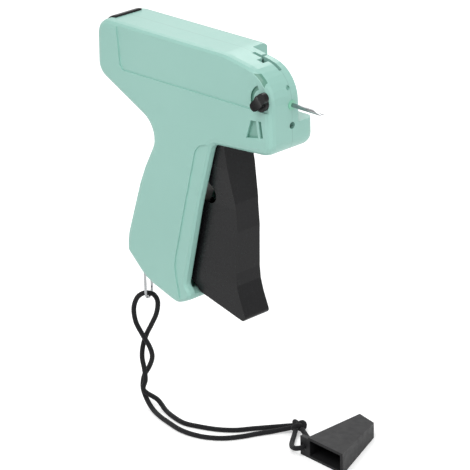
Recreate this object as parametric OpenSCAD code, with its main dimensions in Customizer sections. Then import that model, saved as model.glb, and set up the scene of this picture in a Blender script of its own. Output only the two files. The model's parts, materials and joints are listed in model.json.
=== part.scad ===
// Garment tag attacher: a pistol-shaped gun that pushes plastic fasteners through cloth.
// +X runs to the needle's tip, +Z up, +Y to the gun's left. Origin in the middle of the hand grip.

/* [Housing] */
// Full thickness of the closed housing over the side panels
body_w = 28; // [26:0.5:32]
// Depth of the sunk side panels and grip rims under the main side wall
panel_depth = 0.6; // [0.3:0.1:1]
// Wall thickness of the moulded shells
wall = 2.4; // [1.8:0.1:2.8]
// Radius that rounds the shells' outer edges
edge_r = 3.5; // [2:0.5:4]
// Height of the flat top of the gun above the origin
top_z = 91; // [90:0.5:93]
// Distance from the origin to the nose's flat front
nose_x = 74.4; // [73.5:0.2:76]
// Width of the channel that the trigger moves in
channel_w = 19.4; // [19:0.1:20]

/* [Needle] */
// Height of the needle's axis above the origin
needle_z = 70; // [69:0.5:71]
// Length of needle that stands out of the nose
needle_out = 22; // [16:1:30]
// Outer diameter of the steel needle
needle_d = 2; // [1.8:0.1:2.4]
// Bore of the needle that the ejector rod runs in
needle_bore_d = 1.1; // [1:0.1:1.4]
// Width of the slit along the needle
needle_slit = 0.6; // [0.4:0.1:0.8]
// Diameter of the coloured hub that the needle is moulded into
hub_d = 4.6; // [4:0.2:5.2]

/* [Trigger and drive] */
// Width of the trigger over its side walls
trigger_w = 18; // [16:0.5:18.4]
// Thickness of the trigger's walls
trigger_wall = 2; // [1.5:0.1:2.5]
// Angle that the trigger swings through when squeezed
trigger_travel = 16; // [12:1:17]
// Diameter of the trigger's and the lever's pivot pins
pivot_d = 4; // [3:0.2:4.4]
// Length of the drive lever's upper arm, pivot to slide pin
lever_up = 52; // [50:0.5:54]
// Length of the drive lever's lower arm at mid stroke
lever_down = 21; // [20:0.5:23]
// Thickness of the drive lever
lever_t = 6; // [4:0.5:6.5]
// Diameter of the two driving pins
drive_pin_d = 4; // [3:0.2:4.4]
// Diameter of the ejector rod
rod_d = 0.9; // [0.7:0.1:1]

/* [Feed] */
// Length of the fastener's cross bar that the track holds
bar_l = 10; // [9:0.5:11]
// Diameter of the feed wheel over its teeth
wheel_d = 10; // [9:0.5:10.5]
// Number of teeth on the feed wheel
wheel_teeth = 10; // [8:1:12]
// Width of the feed wheel
wheel_w = 3; // [2:0.5:4]
// Diameter of the feed wheel's shaft
wheel_shaft_d = 2; // [1.6:0.2:2.4]

/* [Needle lock] */
// Diameter of the lock knob's round base
knob_d = 8; // [7:0.5:9]
// Length of the lock knob's raised bar
knob_bar_l = 12; // [11:0.5:14]
// Width of the lock knob's raised bar
knob_bar_w = 5; // [4:0.5:6]
// Height of the lock knob over the side wall
knob_h = 4.5; // [3.5:0.5:5.5]

/* [Fasteners] */
// Diameter of the shell screws' threads
screw_d = 2.6; // [2:0.1:3]
// Diameter of the shell screws' heads
screw_head_d = 5; // [4.5:0.1:5.5]

/* [Wrist cord and cap] */
// Width of the wire link in the heel
ring_w = 9.3; // [8:0.1:10]
// Length of the wire link
ring_l = 23.5; // [23:0.1:24]
// Diameter of the ring's wire
ring_wire = 1.3; // [1:0.1:1.6]
// Diameter of the braided cord
cord_d = 2.5; // [2:0.1:3]
// Length of the needle cap, mouth to closed end
cap_l = 40; // [36:1:44]
// Width of the needle cap at its mouth
cap_mouth_w = 25; // [24:0.5:27]
// Width of the needle cap at its closed end
cap_end_w = 12.4; // [11:0.2:14]
// Thickness of the needle cap at its mouth
cap_mouth_t = 11; // [9:0.5:12]
// Wall thickness of the needle cap
cap_wall = 1.4; // [1:0.1:2]

/* [Hidden] */

fine = 48;
run_gap = 0.1;      // radial running clearance of pins and shafts
free_gap = 0.4;     // clearance between parts that pass each other
eps = 0.01;

half_w = body_w / 2;
side_y = half_w - panel_depth;
inner_y = side_y - wall;

mint = [0.63, 0.82, 0.77];
black = [0.14, 0.14, 0.15];
steel = [0.72, 0.73, 0.75];
white = [0.88, 0.89, 0.88];
green = [0.45, 0.88, 0.55];

// pivots of the drive, in the x, z plane
trigger_pivot = [45, 51];
lever_pivot = [16, 23];
pivot_gap = norm(trigger_pivot - lever_pivot);
drive_dir = (lever_pivot - trigger_pivot) / pivot_gap;
drive_r = pivot_gap + lever_down;
half_travel = trigger_travel / 2;
lever_half = atan2(drive_r * sin(half_travel), drive_r * cos(half_travel) - pivot_gap);
slide_half = lever_up * sin(lever_half);

// turns a point of the x, z plane by an angle, positive from +Z to +X
function turn(p, a) = [p.x * cos(a) + p.y * sin(a), -p.x * sin(a) + p.y * cos(a)];
function turn_about(p, c, a) = c + turn(p - c, a);
drive_mid = trigger_pivot + drive_dir * drive_r;
drive_rest = turn_about(drive_mid, trigger_pivot, -half_travel);
slide_rest = turn_about(lever_pivot + [0, lever_up], lever_pivot, -lever_half);

// corner list [x, z, radius] to a rounded outline
function unit(v) = v / norm(v);
arc_step = 11;
function corner_arc(a, b, c, r) =
    let (
        u = unit(a - b),
        v = unit(c - b),
        half = acos(u * v) / 2,
        side = sign(u.x * v.y - u.y * v.x),
        reach = r / tan(half),
        mid = b + unit(u + v) * r / sin(half),
        first = b + u * reach - mid,
        sweep = (180 - 2 * half) * side,
        n = max(1, round(abs(sweep) / arc_step))
    )
    [for (i = [0:n]) let (t = -sweep * i / n)
        mid + [first.x * cos(t) - first.y * sin(t), first.x * sin(t) + first.y * cos(t)]];
function rounded(pts) =
    let (n = len(pts))
    [for (i = [0:n - 1])
        let (
            a = pts[(i + n - 1) % n],
            b = pts[i],
            c = pts[(i + 1) % n]
        )
        each b.z == 0 ? [[b.x, b.y]] : corner_arc([a.x, a.y], [b.x, b.y], [c.x, c.y], b.z)];

// side view of the whole housing
body_corners = [
    [-44.5, top_z, 8], [-45.3, 63.5, 9], [-3.4, 42.6, 11], [-17.5, 17, 60], [-29.6, -18, 16],
    [-30, -26, 3.9], [-16.5, -38.5, 20], [5, -45.3, 8], [17.8, -39, 3.9], [11.8, -33.5, 3],
    [23, 10.5, 80], [33.6, 44.2, 5], [nose_x, 47.3, 7], [nose_x, 86, 17], [44, top_z, 20]
];
body_outline = rounded(body_corners);

// side view of the trigger
trigger_corners = [
    [38, 58, 5], [51, 56.5, 6], [51, 47.5, 3], [37.2, 45.6, 3], [44, 8, 60], [42, -27, 30],
    [49, -44.8, 2], [17, -36.8, 2], [8, -29, 3], [21, 22, 40], [28, 40, 10]
];
trigger_outline = rounded(trigger_corners);
notch_at = turn_about(lever_pivot, trigger_pivot, -trigger_travel);
notch_r = 5;

// places along and across the gun
screw_at = [[-38, 76], [65.5, 53.5], [-18.5, -24], [-1.8, 40.5]];
boss_r = 3.2;
hub_x = nose_x - 13;
track_x = nose_x - 25.4;
track_floor = needle_z - 1.1;
track_top = 86;
track_half = 3;
slot_half = 1;
knob_at = [nose_x - 5, needle_z + 3.4];
knob_shaft_d = 4;
cam_y = 5;
cam_d = 7;
cam_t = 2;
step_y = 4;         // left face of the narrow upper nose
step_z = needle_z - 9;
step_x = nose_x - 29;
// the slide and its rails
slide_w = 12.8;
slide_front = 7.3;
slide_end_t = 1.8;
cheek_in = lever_t / 2 + free_gap + 0.2;
slide_rail_z = needle_z + 1;
rail_gap = 4.8;
wing_t = 4;
finger_l = 16.4;

// feed wheel, on a shaft along the gun
wheel_x = track_x + bar_l / 2 + 0.5;
wheel_y = -(wheel_d / 2 + 0.7);
wheel_z = needle_z + 7;

// fastenings
pin_reach = inner_y + wall / 2;
screw_seat_y = half_w - 4.6;
screw_head_h = 2;
insert_l = 7.4;
insert_w = 17;
insert_h = 11;

// wire link in the heel, its pin, and the plane the loose cord lies on
link_turn = 25;
link_at = [-22.5, -6.5];
link_top = -28.5;
ring_pin_d = 1.6;
ring_pin_l = 7;
ring_pin_z = link_top - ring_wire - 0.1 - ring_pin_d / 2;
counter_z = -112;

// route of the two cord strands, from the link down to the counter and along it to the knot
strand_a = [
    [-23, -6.5, -49.4], [-25.6, -7.8, -50], [-28.8, -9, -53], [-31, -9.5, -59], [-30, -9.5, -66],
    [-26, -9, -72], [-22, -8, -78], [-22, -6.6, -84], [-26, -5.4, -91], [-29.5, -6, -97],
    [-29, -7.5, -103], [-25, -8.5, -108], [-18.5, -10.5, -110.7], [-10, -13.5, -110.7],
    [-1, -15.5, -110.7], [8, -17, -110.7], [16, -16.5, -110.7], [24, -14, -110.7],
    [31, -9, -110.7], [36, -2, -110.7], [39.5, 5.5, -110.7], [43.5, 12.5, -110.5], [49, 19.5, -109.5]
];
strand_b = [
    [-23, -6.5, -49.4], [-20.4, -5.2, -50], [-18.5, -4.5, -53.5], [-19.5, -4.8, -60],
    [-23, -5.4, -67], [-26.4, -5.8, -73], [-28, -7, -79], [-27.6, -8.4, -85], [-25.6, -9, -91],
    [-24.6, -9.5, -96.5], [-25, -10.5, -102], [-20.5, -5.6, -107.4], [-14, -6.4, -110.7],
    [-6, -9, -110.7], [4, -10.5, -110.7], [13, -8, -110.7], [22, -4, -110.7], [29, 1.5, -110.7],
    [34, 8.5, -110.7], [39.5, 15.5, -110.6], [47, 21.5, -109.8]
];
knot_at = [51, 23, -108.6];
knot_r = 3.4;
cap_loop_route = [
    [51.5, 21, -109], [55, 16, -110.2], [60, 9.5, -110], [65, 4.5, -108.6], [69, 2.6, -107.6],
    [71, 4.4, -107.4], [71.3, 7.2, -107.4], [71, 10.2, -107.6], [67.5, 14.5, -108.8],
    [61, 19, -110], [54, 22.6, -109.6]
];

// needle cap, lying on the counter: place of its left mouth corner and its turn
cap_at = [74.6, 5.9, counter_z];
cap_turn = -4;
cap_lean = 6.7;
cap_end_t = 8;
eye_d = 3.6;
eye_x = -3.4;
flange_l = 5.6;
flange_t = 2.2;

// draws a profile of the x, z plane from one y to another
module plate(y0, y1) {
    translate([0, y1, 0]) rotate([90, 0, 0]) linear_extrude(y1 - y0) children();
}

// round bar along +Y
module bar_y(p, y0, y1, d) {
    translate([p.x, y0, p.y]) rotate([-90, 0, 0]) cylinder(h = y1 - y0, d = d, $fn = fine);
}

// shell body: the side outline, drawn in towards its outer face by a quarter round
shell_levels = 3;
function inset(pts, d) =
    let (n = len(pts))
    [for (i = [0:n - 1])
        let (
            u = unit(pts[i] - pts[(i + n - 1) % n]),
            v = unit(pts[(i + 1) % n] - pts[i]),
            m = unit([-u.y, u.x] + [-v.y, v.x]),
            k = max(0.5, m * [-u.y, u.x])
        )
        pts[i] + m * d / k];
module shell_form() {
    n = len(body_outline);
    rings = [
        [body_outline, 1],
        for (i = [0:shell_levels])
            let (a = 90 * i / shell_levels)
            [inset(body_outline, edge_r * (1 - cos(a))), edge_r * (1 - sin(a)) - half_w],
        [inset(body_outline, edge_r + 0.3), -half_w - 1]
    ];
    pts = [for (r = rings) for (p = r[0]) [p.x, r[1], p.y]];
    last = (len(rings) - 1) * n;
    quads = [for (k = [0:len(rings) - 2]) for (i = [0:n - 1])
        let (
            j = (i + 1) % n,
            a = k * n + i,
            b = k * n + j
        )
        each [[b + n, b, a], [a + n, b + n, a]]];
    near_cap = [for (i = [0:n - 1]) i];
    far_cap = [for (i = [n - 1:-1:0]) last + i];
    polyhedron(pts, concat(quads, [near_cap], [far_cap]), convexity = 8);
}

// corners of the channel that the trigger swings in
module trigger_sweep() {
    offset(delta = free_gap)
        for (a = [0:trigger_travel / 4:trigger_travel])
            translate(trigger_pivot) rotate(-a) translate(-trigger_pivot) polygon(trigger_outline);
}

// sunk panel on the upper side and sunk rim beside the trigger
panel_line = [
    [-30.9, 100], [-28.3, 70.3], [-26.5, 68], [80, 68.6], [80, 100]
];
rim_corners = [
    [24, 43.5, 9], [14.6, 10.5, 80], [4.8, -24.5, 20], [9, -48, 0], [60, -48, 0],
    [60, 43.5, 0]
];
module sunk_sides() {
    plate(-half_w - 2, -side_y) {
        polygon(panel_line);
        polygon(rounded(rim_corners));
    }
}

// recesses in the right side of the nose: the knob's arc and the window with its rib
recess_depth = 1.4;
window = [[58.2, 54], [69.3, 56], [68.3, 64], [61.4, 63.2]];
rib = [[66.9, 50], [64, 70], [65.5, 70], [68.4, 50]];
arc_r = 7.2;
arc_w = 2;
module nose_recesses() {
    difference() {
        polygon(window);
        polygon(rib);
    }
    intersection() {
        translate(knob_at) difference() {
            circle(r = arc_r + arc_w / 2, $fn = fine);
            circle(r = arc_r - arc_w / 2, $fn = fine);
        }
        polygon([for (p = [[0, 0], [-6, 13], [-14, 7], [-14, -4]]) knob_at + p]);
    }
}

// hollow side wall of a shell, drawn for the right
module shell_wall() {
    difference() {
        shell_form();
        translate([-60, 0, -60]) cube([180, 2, 180]);
        translate([-60, -half_w - 2, -60]) cube([180, 2, 180]);
        sunk_sides();
        plate(-inner_y, 2) offset(delta = -wall) polygon(body_outline);
        plate(-channel_w / 2, 2) trigger_sweep();
    }
}

// one shell with its ribs and bosses; sgn is -1 on the right
module shell(sgn) {
    difference() {
        union() {
            mirror([0, sgn > 0 ? 1 : 0, 0]) shell_wall();
            shell_fittings(sgn);
        }
        shell_bores(sgn);
        if (sgn > 0) paddle_cutback();
        feed_mouth();
        rear_pocket();
    }
}

// bosses, slide rails and supports moulded inside a shell, from its wall to the seam
module shell_fittings(sgn) {
    y_wall = inner_y + 0.5;
    for (p = screw_at) boss(sgn, p, 0, boss_r);
    boss(sgn, lever_pivot, lever_t / 2 + free_gap, pivot_d / 2 + 2);
    boss(sgn, trigger_pivot, trigger_w / 2 + free_gap, pivot_d / 2 + 2);
    for (z = [slide_rail_z - 1.4, slide_rail_z + rail_gap])
        translate([slide_rest.x - 11, sgn > 0 ? slide_w / 2 + free_gap : -y_wall, z])
            cube([2 * slide_half + 24, y_wall - slide_w / 2 - free_gap, 1.4]);
    // supports of the feed track and the needle hub
    for (x = [track_x + 0.6, hub_x + 3])
        translate([x, sgn > 0 ? track_half + 0.05 : -y_wall, track_floor - 5])
            cube([1.6, y_wall - track_half - 0.05, 6]);
    if (sgn < 0) shaft_posts();
    if (sgn < 0) heel_block();
    if (sgn > 0) paddle_wall();
}
module boss(sgn, p, from_y, r) {
    y0 = sgn > 0 ? from_y : -inner_y - 0.5;
    y1 = sgn > 0 ? inner_y + 0.5 : -from_y;
    bar_y(p, y0, y1, 2 * r);
}
module shaft_posts() {
    for (x = [wheel_x - wheel_w / 2 - 2.6, wheel_x + wheel_w / 2 + 1])
        translate([x, -inner_y - 0.5, wheel_z - 1.8]) cube([1.6, inner_y + 2.1 + wheel_y, 3.6]);
}
module heel_block() {
    plate(-inner_y - 0.5, 0) intersection() {
        polygon(inset(body_outline, 0.8));
        translate([link_at.x + 1, ring_pin_z]) circle(r = 8, $fn = fine);
    }
}
module paddle_wall() {
    intersection() {
        translate([step_x - 1, step_y - 1, step_z - 1]) cube([nose_x - step_x, 1, 40]);
        plate(0, half_w) polygon(inset(body_outline, 0.4));
    }
    intersection() {
        translate([step_x - 1, 0, step_z - 2]) cube([nose_x - step_x, inner_y, 2]);
        plate(0, half_w) polygon(inset(body_outline, 1));
    }
    intersection() {
        translate([step_x - 1.6, step_y - 1, step_z - 1]) cube([1.6, inner_y - step_y + 1, 40]);
        plate(0, half_w) polygon(inset(body_outline, 1));
    }
}

// open space beside the upper nose where a fastener's paddle slides past
module paddle_cutback() {
    translate([step_x, step_y, step_z]) cube([60, half_w, 60]);
}

// holes for screws, pins, knob, needle hub and the ring's pocket
module shell_bores(sgn) {
    for (p = screw_at) {
        if (sgn < 0) bar_y(p, -inner_y + 1, 1, screw_d + run_gap);
        if (sgn > 0) {
            bar_y(p, -1, half_w + 1, screw_d + 2 * free_gap);
            bar_y(p, screw_seat_y, half_w + 1, screw_head_d + 2 * free_gap);
        }
    }
    for (p = [lever_pivot, trigger_pivot]) bar_y(p, -pin_reach, pin_reach, pivot_d + run_gap);
    translate([hub_x - 0.5, 0, needle_z]) rotate([0, 90, 0])
        cylinder(h = 30, d = hub_d + run_gap, $fn = fine);
    // dark guide hole under the needle and the dimple over it
    translate([nose_x - 9, 0, needle_z - 10]) rotate([0, 90, 0]) cylinder(h = 12, d = 3.4, $fn = fine);
    translate([nose_x - 2.4, -1, needle_z + 8.2]) rotate([0, 90, 0]) cylinder(h = 6, d = 2.2, $fn = fine);
    if (sgn < 0) {
        translate([wheel_x, wheel_y, wheel_z]) rotate([0, 90, 0])
            cylinder(h = 3 * wheel_w, d = wheel_shaft_d, $fn = fine, center = true);
        bar_y(knob_at, -half_w - 1, -4, knob_shaft_d + run_gap);
        bar_y(knob_at, -cam_y - free_gap, free_gap - cam_y + cam_t, cam_d + 2 * free_gap);
        plate(-half_w - 1, recess_depth - half_w) nose_recesses();
        at_link() translate([-1.4, -ring_w / 2 - 1, link_top - 9]) cube([2.8, ring_w + 2, 10]);
        at_link() translate([-ring_pin_l / 2, 0, ring_pin_z]) rotate([0, 90, 0])
            cylinder(h = ring_pin_l, d = ring_pin_d + run_gap, $fn = fine);
    }
}

// opening in the top of the nose for the fastener clip, and the slit it runs out through
module feed_mouth() {
    translate([track_x + 1, -slot_half, track_floor]) cube([bar_l + 0.6, 2 * slot_half, 40]);
    translate([track_x + bar_l - 2.4, -4.4, track_top - 4]) cube([4, 4, 20]);
    translate([track_x + bar_l, -slot_half + 0.1, track_top - 7]) cube([8.5, 2 * slot_half - 0.2, 20]);
    translate([track_x + bar_l / 2, slot_half, track_floor]) cube([1.6, 4, 40]);
}

// pocket at the top rear that the black insert sits in
module rear_pocket() {
    translate([-60, -insert_w / 2 - run_gap, top_z - insert_h - run_gap])
        cube([60 - 44.4 + insert_l, insert_w + 2 * run_gap, 30]);
}

module at_link() {
    translate([link_at.x, link_at.y, 0]) rotate([0, 0, link_turn]) children();
}

module housing_right() {
    color(mint) shell(-1);
}

module housing_left() {
    color(mint) shell(1);
}

// four self-tapping screws, driven from the left and recessed
module housing_screws() {
    color(steel) for (p = screw_at) difference() {
        union() {
            bar_y(p, 2 - inner_y, screw_seat_y, screw_d);
            bar_y(p, screw_seat_y, screw_seat_y + screw_head_h, screw_head_d);
        }
        for (a = [0, 90]) translate([p.x, screw_seat_y + screw_head_h, p.y]) rotate([0, a, 0])
            cube([3.4, 2.2, 0.8], center = true);
    }
}

// black plug that closes the rear of the top
module rear_insert() {
    color(black) intersection() {
        translate([-60, -insert_w / 2, top_z - insert_h]) cube([60 - 44.4 + insert_l, insert_w, 30]);
        plate(-half_w, half_w) difference() {
            polygon(inset(body_outline, 0.3));
            translate([-44.4 + 2.4, top_z - insert_h - 1]) square([1.4, insert_h - 3]);
        }
    }
}

// hollow trigger: outer walls, open at the back, with ears, drive arms and a finger waist
module trigger() {
    color(black) difference() {
        union() {
            difference() {
                intersection() {
                    plate(-trigger_w / 2, trigger_w / 2) polygon(trigger_outline);
                    rotate([0, 90, 0]) rotate([0, 0, 90]) translate([0, 0, -20])
                        linear_extrude(90) polygon(trigger_front);
                }
                plate(trigger_wall - trigger_w / 2, trigger_w / 2 - trigger_wall) {
                    for (back = [0, 0.5, 1]) translate([-back * (trigger_wall + 2), 0])
                        offset(delta = -trigger_wall) polygon(trigger_outline);
                    translate([-30, trigger_pivot.y - 5]) square([60 + 30, 30]);
                }
                for (s = [-1, 1]) plate(s * trigger_w / 2 - 3, s * trigger_w / 2 + 3) notch_shape();
            }
            for (s = [-1, 1]) plate(s > 0 ? arm_y : -arm_y - 2.2, s > 0 ? arm_y + 2.2 : -arm_y)
                arm_shape();
            bar_y(drive_rest, -arm_y - 1, arm_y + 1, drive_pin_d);
        }
        bar_y(trigger_pivot, -trigger_w, trigger_w, pivot_d + run_gap);
    }
}
arm_y = lever_t / 2 + free_gap + 1.6;
arm_root = [30, 0];
module arm_shape() {
    hull() {
        translate(drive_rest) circle(r = drive_pin_d / 2 + 1.8, $fn = fine);
        translate(arm_root) circle(r = 6, $fn = fine);
    }
}
module notch_shape() {
    hull() {
        translate(notch_at) circle(r = notch_r, $fn = fine);
        translate(lever_pivot) circle(r = notch_r, $fn = fine);
    }
}
// front view of the trigger: wide at both ends, drawn in where the finger lies
waist = 1.6;
trigger_front = [
    [-trigger_w / 2, 62], [-trigger_w / 2, 32], [waist - trigger_w / 2, 12],
    [waist - trigger_w / 2, -2], [1 - trigger_w / 2, -26], [1 - trigger_w / 2, -48],
    [trigger_w / 2 - 1, -48], [trigger_w / 2 - 1, -26], [trigger_w / 2 - waist, -2],
    [trigger_w / 2 - waist, 12], [trigger_w / 2, 32], [trigger_w / 2, 62]
];

module trigger_pin() {
    color(steel) bar_y(trigger_pivot, -pin_reach + run_gap, pin_reach - run_gap, pivot_d);
}

// torsion spring on the trigger's pin, as the space its coils take
module return_spring() {
    color(steel) difference() {
        bar_y(trigger_pivot, -spring_l / 2, spring_l / 2, pivot_d + 4);
        bar_y(trigger_pivot, -spring_l, spring_l, pivot_d + 2 * free_gap);
    }
}
spring_l = 10;

// bent lever, drawn with its upper arm upright and turned back to its rest
module drive_lever() {
    color(white) translate([lever_pivot.x, 0, lever_pivot.y]) rotate([0, -lever_half, 0])
        difference() {
            plate(-lever_t / 2, lever_t / 2) {
                hull() {
                    circle(r = 5.4, $fn = fine);
                    translate([0, lever_up]) circle(r = drive_pin_d / 2 + 1.4, $fn = fine);
                }
                hull() {
                    circle(r = 5.4, $fn = fine);
                    translate(drive_dir * (lever_down + 3)) circle(r = 4.4, $fn = fine);
                }
            }
            bar_y([0, 0], -lever_t, lever_t, pivot_d + run_gap);
            bar_y([0, lever_up], -lever_t, lever_t, drive_pin_d);
            plate(-lever_t, lever_t) hull() for (r = [lever_down + 0.4, lever_down + 12])
                translate(drive_dir * r) circle(r = drive_pin_d / 2 + free_gap, $fn = fine);
            // pockets that lighten the upper arm
            for (s = [-1, 1]) plate(s > 0 ? 1 : -lever_t, s > 0 ? lever_t : -1) hull() {
                translate([0, 10]) circle(r = 2.4, $fn = fine);
                translate([0, lever_up - 9]) circle(r = 1.6, $fn = fine);
            }
        }
}

module lever_pin() {
    color(steel) bar_y(lever_pivot, -pin_reach + run_gap, pin_reach - run_gap, pivot_d);
}

module slide_pin() {
    color(steel) bar_y(slide_rest, -slide_w / 2 + 0.2, slide_w / 2 - 0.2, drive_pin_d);
}

// slide that carries the ejector rod: two slotted cheeks, end blocks and guide wings
module slide() {
    z0 = needle_z - 5;
    color(white) translate([slide_rest.x, 0, 0]) difference() {
        union() {
            for (s = [-1, 1]) translate([-9, s > 0 ? cheek_in : -slide_w / 2, z0])
                cube([9 + slide_front, slide_w / 2 - cheek_in, 16]);
            translate([slide_front - slide_end_t, -slide_w / 2, needle_z - 1.6])
                cube([slide_end_t, slide_w, z0 + 16 - needle_z + 1.6]);
            translate([-9, -slide_w / 2, z0 + 9]) cube([2, slide_w, 7]);
            for (s = [-1, 1]) translate([-9, s > 0 ? slide_w / 2 - eps : -slide_w / 2 - 2.4, wing_z])
                cube([9 + slide_front, 2.4 + eps, wing_t]);
        }
        plate(-slide_w, slide_w) hull() for (z = [needle_z - 0.2, needle_z + 6.4])
            translate([0, z]) circle(r = drive_pin_d / 2 + free_gap, $fn = fine);
        translate([slide_front - slide_end_t - 1, 0, needle_z]) rotate([0, 90, 0])
            cylinder(h = 6, d = rod_d, $fn = fine);
    }
}
wing_z = slide_rail_z + (rail_gap - wing_t) / 2;

module ejector_rod() {
    x0 = slide_rest.x + slide_front - slide_end_t;
    color(steel) translate([x0, 0, needle_z]) rotate([0, 90, 0])
        cylinder(h = track_x + 0.6 - x0, d = rod_d, $fn = fine);
}

// arm of the slide that knocks the feed wheel on by a tooth at the end of the stroke
module feed_finger() {
    color(white) translate([slide_rest.x, 0, 0]) difference() {
        translate([2, -slide_w / 2 - 2, wheel_z + 2]) cube([finger_l - 2, 2, 2.4]);
        translate([finger_l, -slide_w / 2 - 2, wheel_z + 3.4]) rotate([0, 45, 0])
            cube([3, 6, 3], center = true);
    }
}

// track that holds the lowest fastener's cross bar in line with the needle
module feed_track() {
    color(white) difference() {
        translate([track_x, -track_half, track_floor - 4])
            cube([hub_x - 0.5 - track_x, track_half + step_y - 1.1, track_top - track_floor]);
        translate([track_x + 1, -slot_half, track_floor]) cube([bar_l + 0.6, 2 * slot_half, 40]);
        translate([track_x + bar_l / 2, 0, track_floor]) cube([1.6, 10, 40]);
        translate([wheel_x - wheel_w / 2 - 0.3, -10, wheel_z - wheel_d / 2 - 0.5])
            cube([wheel_w + 0.6, 10, wheel_d + 1]);
        translate([track_x - 1, 0, needle_z]) rotate([0, 90, 0])
            cylinder(h = 40, d = rod_d + 2 * run_gap, $fn = fine);
    }
}

module feed_wheel() {
    tooth = 360 / wheel_teeth;
    root_r = wheel_d / 2 - 1.3;
    color(black) translate([wheel_x - wheel_w / 2, wheel_y, wheel_z]) rotate([0, 90, 0])
        difference() {
            linear_extrude(wheel_w) polygon([for (i = [0:wheel_teeth - 1])
                let (a = tooth * (i + 0.5))
                each [
                    root_r * [cos(a), sin(a)], root_r * [cos(a + tooth * 0.3), sin(a + tooth * 0.3)],
                    wheel_d / 2 * [cos(a + tooth * 0.5), sin(a + tooth * 0.5)],
                    wheel_d / 2 * [cos(a + tooth * 0.65), sin(a + tooth * 0.65)]
                ]]);
            translate([0, 0, -1])
                cylinder(h = wheel_w + 2, d = wheel_shaft_d + run_gap, $fn = fine);
        }
}

module feed_shaft() {
    color(steel) translate([wheel_x - wheel_w / 2 - 2.6, wheel_y, wheel_z]) rotate([0, 90, 0])
        cylinder(h = wheel_w + 5.2, d = wheel_shaft_d, $fn = fine);
}

// thin blade beside the hub that cuts the fastener from its runner
module cutter_blade() {
    color(steel) translate([0, hub_d / 2 + 0.15, 0]) plate(0, 0.5)
        polygon([[hub_x + 0.6, needle_z - 3], [hub_x + 6, needle_z - 3], [hub_x + 6, needle_z + 1],
            [hub_x + 0.6, needle_z + 4]]);
}

// steel tube with a slit to the left and a long bevel to its point
module needle() {
    x0 = hub_x + 1;
    tip = nose_x + needle_out;
    color(steel) difference() {
        translate([x0, 0, needle_z]) rotate([0, 90, 0]) cylinder(h = tip - x0, d = needle_d, $fn = fine);
        translate([x0 - 1, 0, needle_z]) rotate([0, 90, 0])
            cylinder(h = tip - x0 + 2, d = needle_bore_d, $fn = fine);
        translate([x0 - 1, 0, needle_z - needle_slit / 2]) cube([tip, needle_d, needle_slit]);
        plate(-needle_d, needle_d)
            polygon([[tip - 10, needle_z + needle_d], [tip - 8, needle_z + needle_d / 2],
                [tip, needle_z - needle_d / 2 + 0.2], [tip + 4, needle_z - needle_d], [tip + 4, needle_z + 9]]);
    }
}

module needle_hub() {
    color(green) difference() {
        translate([hub_x, 0, needle_z]) rotate([0, 90, 0])
            cylinder(h = nose_x - hub_x + 0.5, d = hub_d, $fn = fine);
        translate([hub_x + 1, 0, needle_z]) rotate([0, 90, 0])
            cylinder(h = 40, d = needle_d + 0.04, $fn = fine);
        translate([hub_x - 1, 0, needle_z]) rotate([0, 90, 0])
            cylinder(h = 40, d = needle_bore_d, $fn = fine);
        translate([hub_x - 1, 0, needle_z - needle_slit / 2]) cube([40, hub_d, needle_slit]);
    }
}

// lock knob: round base, raised bar and a shaft through the right shell
bar_turn = 43;
module lock_knob() {
    y0 = -side_y - 0.2;
    color(black) {
        bar_y(knob_at, y0 - 2, y0, knob_d);
        bar_y(knob_at, y0 - eps, -cam_y, knob_shaft_d);
        difference() {
            plate(y0 - knob_h, y0 - 2 + eps) knob_bar();
            translate([knob_at.x, y0 - knob_h - 7.2, knob_at.y]) rotate([0, -bar_turn, 0])
                cylinder(h = 60, r = 8, center = true, $fn = fine);
        }
    }
}
module knob_bar() {
    translate(knob_at + [1, 1.4]) rotate(bar_turn) hull() for (s = [-1, 1])
        translate([s * (knob_bar_l - knob_bar_w) / 2, 0]) circle(d = knob_bar_w, $fn = 32);
}

// cam on the knob's inner end that bears on the needle hub
module lock_cam() {
    color(white) difference() {
        bar_y(knob_at, -cam_y, -cam_y + cam_t, cam_d);
        translate([knob_at.x - 10, -cam_y - 1, knob_at.y - 10]) cube([20, 5, 7.4]);
    }
}

module ring_pin() {
    color(steel) at_link() translate([-ring_pin_l / 2, 0, ring_pin_z]) rotate([0, 90, 0])
        cylinder(h = ring_pin_l, d = ring_pin_d, $fn = fine);
}

// closed wire link: two half rings and two straight sides
module wrist_ring() {
    r = (ring_w - ring_wire) / 2;
    upper = link_top - ring_wire / 2 - r;
    lower = link_top - ring_l + ring_wire / 2 + r;
    color(steel) at_link() {
        for (e = [[upper, 0], [lower, 180]]) translate([0, 0, e[0]]) rotate([e[1], 0, 0])
            rotate([0, 0, 90]) rotate([90, 0, 0]) rotate_extrude(angle = 180, $fn = fine)
            translate([r, 0]) circle(d = ring_wire, $fn = 24);
        for (s = [-1, 1]) translate([0, s * r, lower]) cylinder(h = upper - lower, d = ring_wire, $fn = 24);
    }
}

// tube swept along a route, eight-sided, one ring of points at each route point
function tangent(p, i) =
    unit(p[min(i + 1, len(p) - 1)] - p[max(i - 1, 0)]);
module cord_tube(route, ref, d) {
    sides = 8;
    n = len(route);
    pts = [for (i = [0:n - 1])
        let (
            t = tangent(route, i),
            u = unit(cross(t, ref)),
            v = cross(t, u)
        )
        for (k = [0:sides - 1])
            route[i] + d / 2 * (u * cos(360 * k / sides) + v * sin(360 * k / sides))];
    quads = [for (i = [0:n - 2]) for (k = [0:sides - 1])
        let (
            a = i * sides + k,
            b = i * sides + (k + 1) % sides
        )
        each [[a, b, b + sides], [a, b + sides, a + sides]]];
    polyhedron(pts, concat(quads, [[for (k = [sides - 1:-1:0]) k]],
        [[for (k = [0:sides - 1]) (n - 1) * sides + k]]), convexity = 10);
}

module cord_strand_a() {
    color(black) cord_tube(strand_a, [0, 1, 0], cord_d);
}

module cord_strand_b() {
    color(black) cord_tube(strand_b, [0, 1, 0], cord_d);
}

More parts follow.
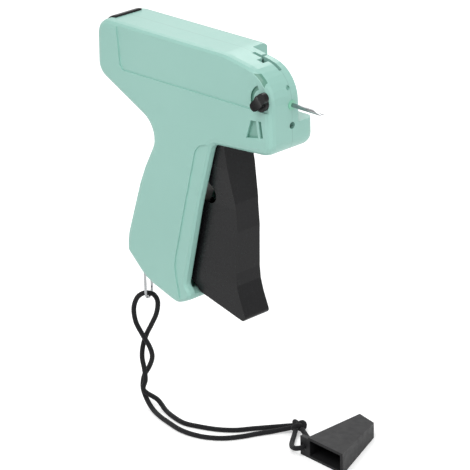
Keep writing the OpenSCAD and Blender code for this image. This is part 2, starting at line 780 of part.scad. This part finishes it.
module cord_knot() {
    color(black) difference() {
        translate(knot_at) sphere(r = knot_r, $fn = fine);
        translate([knot_at.x - 10, knot_at.y - 10, counter_z - 10]) cube([20, 20, 10]);
    }
}

module cap_loop() {
    color(black) cord_tube(cap_loop_route, [0, 0, 1], cord_d);
}

// tapered needle cap, open at its mouth, with an eye for the cord on its flange
module cap_body(t, drop) {
    intersection() {
        linear_extrude(cap_mouth_t) polygon([
            [t, -drop], [cap_mouth_w - t, -drop], [cap_end_w - cap_lean - t / 2, cap_l - 2 - t],
            [t / 2 - cap_lean, cap_l - t]
        ]);
        translate([-20, 0, 0]) rotate([90, 0, 90]) linear_extrude(60) polygon([
            [-drop, t], [cap_l + 1, t], [cap_l + 1, cap_end_t - t], [-drop, cap_mouth_t - t]
        ]);
    }
}
module needle_cap() {
    color(black) translate(cap_at) rotate([0, 0, cap_turn]) difference() {
        union() {
            cap_body(0, 0);
            translate([-flange_l, 0, 0]) cube([flange_l + 1, flange_t, cap_mouth_t - 1]);
            linear_extrude(2) polygon([[-flange_l + 1.4, 0], [1, 0], [-2.2, 17]]);
        }
        cap_body(cap_wall, 1);
        translate([eye_x, -1, cap_mouth_t / 2 - 0.9]) rotate([-90, 0, 0])
            cylinder(h = flange_t + 2, d = eye_d, $fn = fine);
    }
}

housing_right();
housing_left();
housing_screws();
rear_insert();
trigger();
trigger_pin();
return_spring();
drive_lever();
lever_pin();
slide_pin();
slide();
ejector_rod();
feed_finger();
feed_track();
feed_wheel();
feed_shaft();
cutter_blade();
needle();
needle_hub();
lock_knob();
lock_cam();
ring_pin();
wrist_ring();
cord_strand_a();
cord_strand_b();
cord_knot();
cap_loop();
needle_cap();
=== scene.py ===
import bpy, json, math
from mathutils import Matrix, Vector


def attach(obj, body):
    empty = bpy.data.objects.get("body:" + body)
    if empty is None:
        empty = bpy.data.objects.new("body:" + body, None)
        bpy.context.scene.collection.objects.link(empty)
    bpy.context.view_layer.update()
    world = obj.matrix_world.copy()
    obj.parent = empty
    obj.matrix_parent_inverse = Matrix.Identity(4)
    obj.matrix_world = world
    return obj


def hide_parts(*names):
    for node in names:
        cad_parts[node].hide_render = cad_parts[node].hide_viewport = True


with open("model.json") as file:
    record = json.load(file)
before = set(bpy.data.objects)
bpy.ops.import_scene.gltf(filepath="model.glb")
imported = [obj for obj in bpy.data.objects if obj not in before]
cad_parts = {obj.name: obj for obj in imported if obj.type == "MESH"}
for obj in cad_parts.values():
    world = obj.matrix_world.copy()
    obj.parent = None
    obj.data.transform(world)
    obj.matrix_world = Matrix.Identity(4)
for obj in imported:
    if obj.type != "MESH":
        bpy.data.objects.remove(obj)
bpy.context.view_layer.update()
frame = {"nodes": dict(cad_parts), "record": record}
nodes = frame["nodes"]
mm = 0.001  # lengths below are in mm unless the note says metres

# camera, fitted to the straight edges of the photographed body: places in metres, lens and sensor in mm
cameraSet = {
    "place": (0.91392, -0.83209, 0.48094),
    "right": (0.6948, 0.7187, -0.0275),
    "up": (-0.2501, 0.2773, 0.9276),
    "back": (0.6743, -0.6376, 0.3724),
    "lens": 209.2,
    "sensor": 36.0,
    "clip": (0.05, 20),
}
cameraData = bpy.data.cameras.new("camera")
camera = bpy.data.objects.new("camera", cameraData)
bpy.context.scene.collection.objects.link(camera)
cameraData.lens = cameraSet["lens"]
cameraData.sensor_width = cameraSet["sensor"]
cameraData.sensor_fit = "HORIZONTAL"
cameraData.clip_start, cameraData.clip_end = cameraSet["clip"]
axes = [Vector(cameraSet[k]).normalized() for k in ("right", "up", "back")]
camera.matrix_world = Matrix.Translation(cameraSet["place"]) @ Matrix(axes).transposed().to_4x4()
bpy.context.scene.camera = camera
print("camera")


# a smooth mesh object, with a texture map where one is given
def linkMesh(name, verts, faces, uvs=None):
    mesh = bpy.data.meshes.new(name)
    mesh.from_pydata([tuple(v) for v in verts], [], faces)
    if uvs:
        layer = mesh.uv_layers.new(name="along")
        for loop in mesh.loops:
            layer.data[loop.index].uv = uvs[loop.index]
    mesh.polygons.foreach_set("use_smooth", [True] * len(mesh.polygons))
    obj = bpy.data.objects.new(name, mesh)
    bpy.context.scene.collection.objects.link(obj)
    return obj


# a curve through the points, with as many short pieces to each span as steps says
def smoothPath(points, steps):
    pts = [Vector(p) for p in points]
    last = len(pts) - 1
    out = []
    for i in range(last):
        a, b, c, d = pts[max(i - 1, 0)], pts[i], pts[i + 1], pts[min(i + 2, last)]
        for s in range(steps):
            t = s / steps
            out.append(0.5 * (2 * b + (c - a) * t + (2 * a - 5 * b + 4 * c - d) * t * t
                              + (3 * b - a - 3 * c + d) * t ** 3))
    out.append(pts[-1])
    return out


# tube along a path, with a texture map: turns round it, and lengths of its own girth along it
def sweepTube(name, pts, radius, sides, closed=False):
    n = len(pts)
    ahead = [(pts[(i + 1) % n] if closed else pts[min(i + 1, n - 1)])
             - (pts[i - 1] if closed else pts[max(i - 1, 0)]) for i in range(n)]
    ahead = [t.normalized() for t in ahead]
    side = ahead[0].orthogonal().normalized()
    verts, girth = [], 2 * math.pi * radius
    for i in range(n):
        side = (side - ahead[i] * side.dot(ahead[i])).normalized()
        other = ahead[i].cross(side)
        for k in range(sides):
            a = 2 * math.pi * k / sides
            verts.append(pts[i] + radius * (side * math.cos(a) + other * math.sin(a)))
    faces, uvs, run = [], [], 0.0
    for i in range(n if closed else n - 1):
        step = (pts[(i + 1) % n] - pts[i]).length / girth
        for k in range(sides):
            m = (k + 1) % sides
            j = (i + 1) % n
            faces.append((i * sides + k, i * sides + m, j * sides + m, j * sides + k))
            uvs += [(k / sides, run), ((k + 1) / sides, run), ((k + 1) / sides, run + step),
                    (k / sides, run + step)]
        run += step
    if not closed:
        faces += [tuple(range(sides - 1, -1, -1)), tuple((n - 1) * sides + k for k in range(sides))]
        uvs += [(0.0, 0.0)] * (2 * sides)
    return linkMesh(name, verts, faces, uvs)


# cords: each strand's route from the wire link to the knot, and the loop through the cap's eye;
# the points are the solids' own, apart from each strand's last two, which run on into the knot
cordSet = {"diameter": 2.5 * mm, "steps": 7, "sides": 14, "body": "housing"}
strandRoutes = {
    "cordStrandA": [
        (-23, -6.5, -49.4), (-25.6, -7.8, -50), (-28.8, -9, -53), (-31, -9.5, -59), (-30, -9.5, -66),
        (-26, -9, -72), (-22, -8, -78), (-22, -6.6, -84), (-26, -5.4, -91), (-29.5, -6, -97),
        (-29, -7.5, -103), (-25, -8.5, -108), (-18.5, -10.5, -110.7), (-10, -13.5, -110.7),
        (-1, -15.5, -110.7), (8, -17, -110.7), (16, -16.5, -110.7), (24, -14, -110.7),
        (31, -9, -110.7), (36, -2, -110.7), (39.5, 5.5, -110.7), (43.5, 12.5, -110.5),
        (48.6, 19.2, -109.4), (50.4, 21.8, -108.9)],
    "cordStrandB": [
        (-23, -6.5, -49.4), (-20.4, -5.2, -50), (-18.5, -4.5, -53.5), (-19.5, -4.8, -60),
        (-23, -5.4, -67), (-26.4, -5.8, -73), (-28, -7, -79), (-27.6, -8.4, -85), (-25.6, -9, -91),
        (-24.6, -9.5, -96.5), (-25, -10.5, -102), (-20.5, -5.6, -107.4), (-14, -6.4, -110.7),
        (-6, -9, -110.7), (4, -10.5, -110.7), (13, -8, -110.7), (22, -4, -110.7), (29, 1.5, -110.7),
        (34, 8.5, -110.7), (39.5, 15.5, -110.6), (46.4, 21.2, -109.6), (49.6, 23, -109)],
    "capLoop": [
        (51.5, 21, -109), (55, 16, -110.2), (60, 9.5, -110), (65, 4.5, -108.6), (69, 2.6, -107.6),
        (71, 4.4, -107.4), (71.3, 7.2, -107.4), (71, 10.2, -107.6), (67.5, 14.5, -108.8),
        (61, 19, -110), (54, 22.6, -109.6)],
}
cordNodes = {"cordStrandA": "cord_strand_a", "cordStrandB": "cord_strand_b", "capLoop": "cap_loop"}
cords, cordPaths = {}, {}
for name, route in strandRoutes.items():
    path = smoothPath([[c * mm for c in p] for p in route], cordSet["steps"])
    cordPaths[name] = path
    cords[name] = sweepTube(name, path, cordSet["diameter"] / 2, cordSet["sides"])
    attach(cords[name], cordSet["body"])
    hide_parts(cordNodes[name])

# knot, as a closed trefoil that the strands and the loop run into
knotSet = {"place": (51, 23, -108.5), "turn": 1.05, "lift": 1.15, "steps": 72, "sides": 12}
knotX, knotY, knotZ = knotSet["place"]
knotPath = []
for i in range(knotSet["steps"]):
    t = 2 * math.pi * i / knotSet["steps"]
    knotPath.append(Vector((
        knotX + knotSet["turn"] * (math.sin(t) + 2 * math.sin(2 * t)),
        knotY + knotSet["turn"] * (math.cos(t) - 2 * math.cos(2 * t)),
        knotZ - knotSet["lift"] * math.sin(3 * t))) * mm)
cordKnot = sweepTube("cordKnot", knotPath, cordSet["diameter"] / 2, knotSet["sides"], closed=True)
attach(cordKnot, cordSet["body"])
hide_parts("cord_knot")
print("cords")


# rear insert: the black plug at the top rear follows the shell's rounded corner,
# and its lip stands a little proud of the top
insertSet = {
    "half": 8.4,                   # half its width
    "low": 80.7, "front": -35.9,   # where it ends below and in front
    "corner": (-36.5, 83.0, 8.0),  # the corner's centre, x and z, and its radius
    "back": 0.35, "lip": 1.2,      # how proud it stands at its lower end and at the lip
    "inside": 2.2,                 # how far it goes into the shell
    "sink": 0.5,                   # how far its rim drops
    "steps": (3, 14, 2),           # pieces up the back, round the corner and along the top
    "crease": 50,                  # degrees
}
cornerX, cornerZ, cornerR = insertSet["corner"]
upSteps, roundSteps, topSteps = insertSet["steps"]
insertLine = [(cornerX - cornerR, insertSet["low"] + (cornerZ - insertSet["low"]) * i / upSteps, -1.0, 0.0)
              for i in range(upSteps)]
for i in range(roundSteps + 1):
    turn = math.radians(180 - 90 * i / roundSteps)
    nx, nz = math.cos(turn), math.sin(turn)
    insertLine.append((cornerX + cornerR * nx, cornerZ + cornerR * nz, nx, nz))
insertLine += [(cornerX + (insertSet["front"] - cornerX) * i / topSteps, cornerZ + cornerR, 0.0, 1.0)
               for i in range(1, topSteps + 1)]
# shares of the half width, and how much of the sink each row and column takes
acrossInsert = [-1, -0.985, -0.96, -0.92, -0.6, -0.2, 0.2, 0.6, 0.92, 0.96, 0.985, 1]
sinkAcross = [1.0, 0.42, 0.14, 0, 0, 0, 0, 0, 0, 0.14, 0.42, 1.0]
sinkAlong = [1.0, 0.35, 0.05] + [0] * (len(insertLine) - 5) + [0.25, 1.0]
insertVerts, insertFaces = [], []
rows, columns = len(insertLine), len(acrossInsert)
for inner in (False, True):
    for i, (x, z, nx, nz) in enumerate(insertLine):
        rise = insertSet["back"] + (insertSet["lip"] - insertSet["back"]) * (i / (rows - 1)) ** 2
        for j, share in enumerate(acrossInsert):
            drop = insertSet["sink"] * max(sinkAcross[j], sinkAlong[i])
            out = -insertSet["inside"] if inner else rise - drop
            insertVerts.append(Vector((x + nx * out, share * insertSet["half"], z + nz * out)) * mm)
layer = rows * columns
for i in range(rows - 1):
    for j in range(columns - 1):
        a = i * columns + j
        insertFaces.append((a, a + columns, a + columns + 1, a + 1))
        insertFaces.append((a + layer, a + layer + 1, a + layer + columns + 1, a + layer + columns))
rim = [*range(columns), *[i * columns + columns - 1 for i in range(1, rows)],
       *[(rows - 1) * columns + j for j in range(columns - 2, -1, -1)],
       *[i * columns for i in range(rows - 2, 0, -1)]]
for a, b in zip(rim, rim[1:] + rim[:1]):
    insertFaces.append((a, b, b + layer, a + layer))
rearInsert = linkMesh("rearInsert", insertVerts, insertFaces)
rearInsert.data.set_sharp_from_angle(angle=math.radians(insertSet["crease"]))
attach(rearInsert, "housing")
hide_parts("rear_insert")
print("rear insert")


def newMaterial(name):
    mat = bpy.data.materials.new(name)
    mat.use_nodes = True
    tree = mat.node_tree
    return mat, tree, tree.nodes["Principled BSDF"]


def mathNode(tree, op, a, b=None, c=None):
    n = tree.nodes.new("ShaderNodeMath")
    n.operation = op
    for i, v in enumerate((a, b, c)):
        if v is None:
            continue
        if isinstance(v, (int, float)):
            n.inputs[i].default_value = v
        else:
            tree.links.new(v, n.inputs[i])
    return n.outputs[0]


# unevenness of a moulded skin: a height for bump, a slow mask for colour and one for roughness
def mouldGroup(noiseDetail, middleShare):
    group = bpy.data.node_groups.new("mouldedSkin", "ShaderNodeTree")
    for socket in noiseDetail:
        group.interface.new_socket(socket, in_out="INPUT", socket_type="NodeSocketFloat")
    for socket in ("Height", "Slow", "Rough"):
        group.interface.new_socket(socket, in_out="OUTPUT", socket_type="NodeSocketFloat")
    scales = group.nodes.new("NodeGroupInput")
    out = group.nodes.new("NodeGroupOutput")
    coords = group.nodes.new("ShaderNodeTexCoord")
    made = []
    for socket, detail in noiseDetail.items():
        n = group.nodes.new("ShaderNodeTexNoise")
        n.inputs["Detail"].default_value = detail
        group.links.new(scales.outputs[socket], n.inputs["Scale"])
        group.links.new(coords.outputs["Object"], n.inputs["Vector"])
        made.append(n.outputs["Fac"])
    fine, slow, middle = made
    height = mathNode(group, "MULTIPLY_ADD", middle, middleShare, fine)
    group.links.new(height, out.inputs["Height"])
    group.links.new(slow, out.inputs["Slow"])
    group.links.new(middle, out.inputs["Rough"])
    return group


# detail and scale of the three noises in the skin's group, by input
skinDetail = {"Grain": 3, "Blotch": 4, "Wear": 5}
skinScale = {"Grain": 2600, "Blotch": 18, "Wear": 260}
mould = mouldGroup(skinDetail, middleShare=0.5)
slowSpan, middleSpan = (0.35, 0.65), (0.3, 0.7)  # the stretch of a noise that is used


def mixColor(tree, fac, a, b):
    n = tree.nodes.new("ShaderNodeMix")
    n.data_type = "RGBA"
    if isinstance(fac, (int, float)):
        n.inputs["Factor"].default_value = fac
    else:
        tree.links.new(fac, n.inputs["Factor"])
    for key, v in (("A", a), ("B", b)):
        sock = [s for s in n.inputs if s.name == key and s.type == "RGBA"][0]
        if isinstance(v, tuple):
            sock.default_value = (*v, 1)
        else:
            tree.links.new(v, sock)
    return [s for s in n.outputs if s.type == "RGBA"][0]


def mapRange(tree, value, low, high, toLow, toHigh):
    n = tree.nodes.new("ShaderNodeMapRange")
    tree.links.new(value, n.inputs["Value"])
    for key, v in zip(("From Min", "From Max", "To Min", "To Max"), (low, high, toLow, toHigh)):
        n.inputs[key].default_value = v
    return n.outputs["Result"]


def relief(tree, shader, height, strength, depth):
    n = tree.nodes.new("ShaderNodeBump")
    n.inputs["Strength"].default_value = strength
    n.inputs["Distance"].default_value = depth
    tree.links.new(height, n.inputs["Height"])
    tree.links.new(n.outputs["Normal"], shader.inputs["Normal"])


plasticSet = {"coatRoughness": 0.18, "reliefDepth": 0.00012}  # depth in metres
seamSet = {"near": 0.00006, "far": 0.0003, "color": (0.10, 0.19, 0.16)}  # metres from the seam
# shade that gathers in the window and the knob's arc on the nose, in metres
recessShade = {
    "zone": {"X": (0.055, 0.0702), "Y": (-0.0132, -0.0110), "Z": (0.053, 0.086)},
    "arcFrom": 0.066, "arc": 0.85, "window": 0.45, "color": (0.085, 0.250, 0.180),
}


# the dark line of the seam and the shade in the recesses, by place on the shell
def shellShade(tree, tone, seam):
    coords = tree.nodes.new("ShaderNodeTexCoord")
    split = tree.nodes.new("ShaderNodeSeparateXYZ")
    tree.links.new(coords.outputs["Object"], split.inputs[0])
    away = mathNode(tree, "ABSOLUTE", split.outputs["Y"])
    line = mapRange(tree, away, seamSet["near"], seamSet["far"], seam, 0)
    tone = mixColor(tree, line, tone, seamSet["color"])
    inside = mathNode(tree, "GREATER_THAN", split.outputs["Z"], recessShade["arcFrom"])
    inside = mathNode(tree, "MULTIPLY_ADD", inside, recessShade["arc"] - recessShade["window"],
                      recessShade["window"])
    for axis, (low, high) in recessShade["zone"].items():
        inside = mathNode(tree, "MULTIPLY", inside,
                          mathNode(tree, "GREATER_THAN", split.outputs[axis], low))
        inside = mathNode(tree, "MULTIPLY", inside,
                          mathNode(tree, "LESS_THAN", split.outputs[axis], high))
    return mixColor(tree, inside, tone, recessShade["color"])


def plastic(name, color, shade, roughness, spread, bump, coat=0.0, seam=0.0, specular=0.5):
    mat, tree, shader = newMaterial(name)
    skin = tree.nodes.new("ShaderNodeGroup")
    skin.node_tree = mould
    for socket, scale in skinScale.items():
        skin.inputs[socket].default_value = scale
    tone = mixColor(tree, mapRange(tree, skin.outputs["Slow"], *slowSpan, 0, 1), color, shade)
    if seam:
        tone = shellShade(tree, tone, seam)
    tree.links.new(tone, shader.inputs["Base Color"])
    rough = mapRange(tree, skin.outputs["Rough"], *middleSpan, roughness - spread, roughness + spread)
    tree.links.new(rough, shader.inputs["Roughness"])
    shader.inputs["Specular IOR Level"].default_value = specular
    shader.inputs["Coat Weight"].default_value = coat
    shader.inputs["Coat Roughness"].default_value = plasticSet["coatRoughness"]
    relief(tree, shader, skin.outputs["Height"], bump, plasticSet["reliefDepth"])
    return mat


metalSet = {"scale": 900, "detail": 4, "darker": 0.8, "bump": 0.12, "reliefDepth": 0.00005}  # depth in metres


def metal(name, color, roughness, spread, stretch):
    mat, tree, shader = newMaterial(name)
    coords = tree.nodes.new("ShaderNodeTexCoord")
    mapping = tree.nodes.new("ShaderNodeMapping")
    mapping.inputs["Scale"].default_value = stretch
    noise = tree.nodes.new("ShaderNodeTexNoise")
    noise.inputs["Scale"].default_value = metalSet["scale"]
    noise.inputs["Detail"].default_value = metalSet["detail"]
    tree.links.new(coords.outputs["Object"], mapping.inputs["Vector"])
    tree.links.new(mapping.outputs["Vector"], noise.inputs["Vector"])
    shader.inputs["Metallic"].default_value = 1
    darker = tuple(c * metalSet["darker"] for c in color)
    tree.links.new(mixColor(tree, noise.outputs["Fac"], color, darker), shader.inputs["Base Color"])
    rough = mapRange(tree, noise.outputs["Fac"], *middleSpan, roughness - spread, roughness + spread)
    tree.links.new(rough, shader.inputs["Roughness"])
    relief(tree, shader, noise.outputs["Fac"], metalSet["bump"], metalSet["reliefDepth"])
    return mat


braidSet = {
    "yarns": 5, "fuzzScale": 3200, "fuzzDetail": 5, "fuzzShare": 0.5, "lightShare": 0.6,
    "roughness": 0.75, "specular": 0.2, "sheen": 0.08, "sheenRoughness": 0.4,
    "bump": 0.7, "reliefDepth": 0.00025,  # depth in metres
}


# braided cord: two families of yarns that cross, raised where each is on top
def braid(name, color, light):
    mat, tree, shader = newMaterial(name)
    uv = tree.nodes.new("ShaderNodeUVMap")
    uv.uv_map = "along"
    split = tree.nodes.new("ShaderNodeSeparateXYZ")
    tree.links.new(uv.outputs["UV"], split.inputs[0])
    around = mathNode(tree, "MULTIPLY", split.outputs["X"], 2 * math.pi * braidSet["yarns"])
    along = mathNode(tree, "MULTIPLY", split.outputs["Y"], 2 * math.pi * braidSet["yarns"])
    one = mathNode(tree, "SINE", mathNode(tree, "ADD", around, along))
    two = mathNode(tree, "SINE", mathNode(tree, "SUBTRACT", around, along))
    weave = mathNode(tree, "ABSOLUTE", mathNode(tree, "MULTIPLY", one, two))
    fuzz = tree.nodes.new("ShaderNodeTexNoise")
    fuzz.inputs["Scale"].default_value = braidSet["fuzzScale"]
    fuzz.inputs["Detail"].default_value = braidSet["fuzzDetail"]
    height = mathNode(tree, "MULTIPLY_ADD", fuzz.outputs["Fac"], braidSet["fuzzShare"], weave)
    # painted highlight: the base colour is paler where the weave's yarns are raised, which is painted light
    # on the crowns and painted shade between them; the fuzz noise in the height adds random tone
    paler = mathNode(tree, "MULTIPLY", height, braidSet["lightShare"])
    tree.links.new(mixColor(tree, paler, color, light), shader.inputs["Base Color"])
    shader.inputs["Roughness"].default_value = braidSet["roughness"]
    shader.inputs["Specular IOR Level"].default_value = braidSet["specular"]
    shader.inputs["Sheen Weight"].default_value = braidSet["sheen"]
    shader.inputs["Sheen Roughness"].default_value = braidSet["sheenRoughness"]
    relief(tree, shader, height, braidSet["bump"], braidSet["reliefDepth"])
    return mat


looks = {
    "shell": plastic("mintPlastic", (0.345, 0.615, 0.540), (0.330, 0.595, 0.522), 0.38, 0.04, 0.10,
                     coat=0.10, seam=0.22, specular=0.4),
    "black": plastic("blackPlastic", (0.0075, 0.0075, 0.0082), (0.010, 0.010, 0.011), 0.26, 0.05, 0.10,
                     specular=0.18),
    "cap": plastic("capPlastic", (0.014, 0.014, 0.015), (0.018, 0.018, 0.019), 0.42, 0.06, 0.2,
                   specular=0.12),
    "dark": plastic("darkPlastic", (0.05, 0.05, 0.052), (0.06, 0.06, 0.062), 0.5, 0.05, 0.2),
    "white": plastic("acetalPlastic", (0.78, 0.78, 0.75), (0.74, 0.74, 0.71), 0.38, 0.05, 0.08),
    "green": plastic("hubPlastic", (0.27, 0.66, 0.47), (0.24, 0.61, 0.43), 0.30, 0.04, 0.05, coat=0.2),
    "steel": metal("turnedSteel", (0.22, 0.22, 0.23), 0.30, 0.06, (1, 1, 1)),
    "bright": metal("polishedSteel", (0.42, 0.43, 0.44), 0.16, 0.05, (0.05, 1, 1)),
    "spring": metal("springWire", (0.42, 0.42, 0.43), 0.3, 0.05, (1, 1, 1)),
    "cord": braid("cordBraid", (0.005, 0.005, 0.006), (0.022, 0.022, 0.024)),
}
for piece in [*cords.values(), cordKnot]:
    piece.data.materials.append(looks["cord"])
rearInsert.data.materials.append(looks["black"])

slotOf = {s["node"]: s["material_slot"] for s in frame["record"]["subparts"]}
# crease angle in degrees and softened edge in mm of the carried-over nodes; the others are plain
plainEdge = (40, 0)
edges = {
    "housing_right": (32, 0), "housing_left": (32, 0), "trigger": (30, 0.8), "needle_cap": (30, 0.4),
    "lock_knob": (32, 0.25), "needle_hub": (40, 0.15),
}
bevelSet = {"segments": 3, "angle": 38, "flat": 0.5}  # angles in degrees
for name, node in nodes.items():
    look = "cap" if name == "needle_cap" else slotOf[name]
    node.data.materials.clear()
    node.data.materials.append(looks[look])
    angle, width = edges.get(name, plainEdge)
    mesh = node.data
    mesh.polygons.foreach_set("use_smooth", [True] * len(mesh.polygons))
    mesh.set_sharp_from_angle(angle=math.radians(angle))
    if width:
        flat = node.modifiers.new("join", "DECIMATE")
        flat.decimate_type = "DISSOLVE"
        flat.angle_limit = math.radians(bevelSet["flat"])
        soft = node.modifiers.new("edge", "BEVEL")
        soft.width = width * mm
        soft.segments = bevelSet["segments"]
        soft.limit_method = "ANGLE"
        soft.angle_limit = math.radians(bevelSet["angle"])
        soft.harden_normals = True
print("materials")

# floor, in metres: the counter that the cord and the cap lie on
stageSet = {"floor": -0.112, "size": 8.0, "white": 0.90, "lift": 0.42, "roughness": 0.9}
floorCorners = [(x * stageSet["size"], y * stageSet["size"], stageSet["floor"])
                for x, y in ((-1, -1), (1, -1), (1, 1), (-1, 1))]
floor = linkMesh("floor", floorCorners, [(0, 1, 2, 3)])
floorMat, floorTree, floorShader = newMaterial("paleFloor")
floorShader.inputs["Base Color"].default_value = (*[stageSet["white"]] * 3, 1)
floorShader.inputs["Roughness"].default_value = stageSet["roughness"]
floorShader.inputs["Specular IOR Level"].default_value = 0.0
# the camera and reflections see the counter a little brighter, so its light on the object stays plain
floorPaths = floorTree.nodes.new("ShaderNodeLightPath")
floorSeen = mathNode(floorTree, "MAXIMUM", floorPaths.outputs["Is Camera Ray"],
                     floorPaths.outputs["Is Glossy Ray"])
floorShader.inputs["Emission Color"].default_value = (1, 1, 1, 1)
floorTree.links.new(mathNode(floorTree, "MULTIPLY", floorSeen, stageSet["lift"]),
                    floorShader.inputs["Emission Strength"])
floor.data.materials.append(floorMat)

# studio: plain light on the object, and white where the camera or a reflection sees it
studioSet = {"onObject": 0.42, "seen": 1.0}
world = bpy.data.worlds.new("studio")
bpy.context.scene.world = world
world.use_nodes = True
tree = world.node_tree
back = tree.nodes["Background"]
back.inputs["Color"].default_value = (1, 1, 1, 1)
paths = tree.nodes.new("ShaderNodeLightPath")
seen = mathNode(tree, "MAXIMUM", paths.outputs["Is Camera Ray"], mathNode(
    tree, "MAXIMUM", paths.outputs["Is Glossy Ray"], paths.outputs["Is Transmission Ray"]))
tree.links.new(mapRange(tree, seen, 0, 1, studioSet["onObject"], studioSet["seen"]),
               back.inputs["Strength"])

# lamps, in metres and watts
lampAim = Vector((0.02, 0, 0.02))
lights = {
    "key": {"place": (0.2, -0.9, 1.3), "size": 1.1, "power": 12.0},
    "front": {"place": (1.5, -0.1, 0.6), "size": 1.0, "power": 6.0},
    "rim": {"place": (-0.8, 0.9, 1.1), "size": 0.9, "power": 6.0},
}
for name, s in lights.items():
    data = bpy.data.lights.new(name, "AREA")
    data.shape = "DISK"
    data.size = s["size"]
    data.energy = s["power"]
    lamp = bpy.data.objects.new(name, data)
    bpy.context.scene.collection.objects.link(lamp)
    lamp.location = s["place"]
    lamp.rotation_euler = (lampAim - lamp.location).to_track_quat("-Z", "Y").to_euler()
bpy.context.scene.view_settings.view_transform = "Standard"
print("light")
